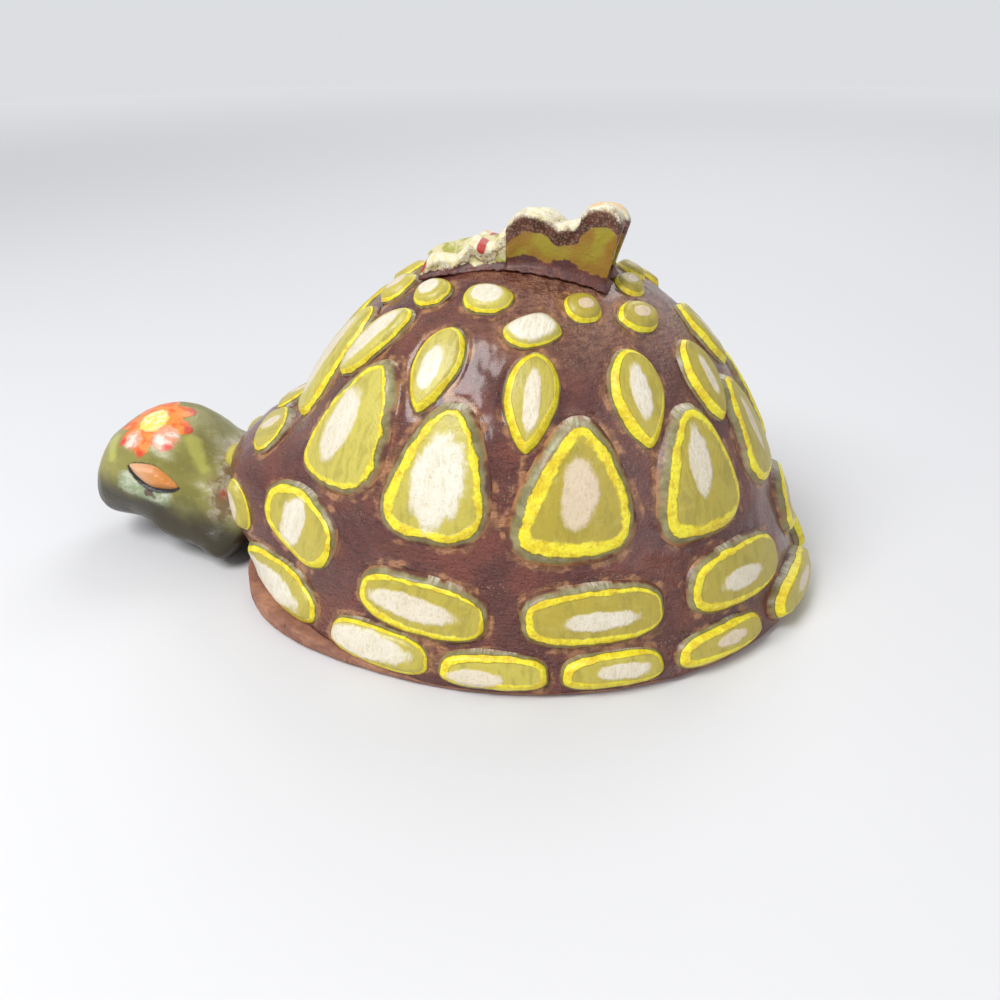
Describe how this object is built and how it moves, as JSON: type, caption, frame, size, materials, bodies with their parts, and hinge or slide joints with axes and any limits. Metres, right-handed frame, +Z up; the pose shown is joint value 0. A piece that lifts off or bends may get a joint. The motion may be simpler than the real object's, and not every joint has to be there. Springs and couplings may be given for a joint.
{
  "type": "turtle figurine",
  "caption": "Hand-painted clay turtle ornament: hollow domed shell with raised scutes, head with closed eyes, and a butterfly on top.",
  "frame": {"origin": "middle of the resting face of the belly slab", "axes": "+Z up, head towards -X, the turtle's left side towards -Y"},
  "size_m": [0.1435, 0.095, 0.0706],
  "materials": {
    "shell_paint": "brown glossy paint on fired clay, brush marks",
    "scute_paint": "yellow rim, olive field and cream dry brush",
    "butterfly_paint": "ochre cells, dark brown veins, cream edges",
    "eyelid_paint": "peach paint",
    "skin_paint": "olive green satin paint",
    "bare_clay": "unglazed pinkish clay, matt"
  },
  "bodies": {
    "root": {"butterfly_body": "butterfly_paint", "carapace": "shell_paint", "head_and_neck": "skin_paint", "left_costal_scute_1": "scute_paint", "left_costal_scute_2": "scute_paint", "left_costal_scute_3": "scute_paint", "left_costal_scute_4": "scute_paint", "left_costal_scute_5": "scute_paint", "left_costal_scute_6": "scute_paint", "left_crown_scute_1": "scute_paint", "left_crown_scute_2": "scute_paint", "left_crown_scute_3": "scute_paint", "left_crown_scute_4": "scute_paint", "left_crown_scute_5": "scute_paint", "left_crown_scute_6": "scute_paint", "left_crown_scute_7": "scute_paint", "left_diamond_scute_1": "scute_paint", "left_diamond_scute_2": "scute_paint", "left_diamond_scute_3": "scute_paint", "left_diamond_scute_4": "scute_paint", "left_diamond_scute_5": "scute_paint", "left_eyelid": "eyelid_paint", "left_forewing": "butterfly_paint", "left_hindwing": "butterfly_paint", "left_lower_scute_1": "scute_paint", "left_lower_scute_2": "scute_paint", "left_lower_scute_3": "scute_paint", "left_lower_scute_4": "scute_paint", "left_lower_scute_5": "scute_paint", "left_marginal_scutes": "scute_paint", "plastron": "bare_clay", "rear_diamond_scute": "scute_paint", "rear_lower_scute": "scute_paint", "right_costal_scute_1": "scute_paint", "right_costal_scute_2": "scute_paint", "right_costal_scute_3": "scute_paint", "right_costal_scute_4": "scute_paint", "right_costal_scute_5": "scute_paint", "right_costal_scute_6": "scute_paint", "right_crown_scute_1": "scute_paint", "right_crown_scute_2": "scute_paint", "right_crown_scute_3": "scute_paint", "right_crown_scute_4": "scute_paint", "right_crown_scute_5": "scute_paint", "right_crown_scute_6": "scute_paint", "right_crown_scute_7": "scute_paint", "right_diamond_scute_1": "scute_paint", "right_diamond_scute_2": "scute_paint", "right_diamond_scute_3": "scute_paint", "right_diamond_scute_4": "scute_paint", "right_diamond_scute_5": "scute_paint", "right_eyelid": "eyelid_paint", "right_forewing": "butterfly_paint", "right_hindwing": "butterfly_paint", "right_lower_scute_1": "scute_paint", "right_lower_scute_2": "scute_paint", "right_lower_scute_3": "scute_paint", "right_lower_scute_4": "scute_paint", "right_lower_scute_5": "scute_paint", "right_marginal_scutes": "scute_paint"}
  },
  "joints": []
}
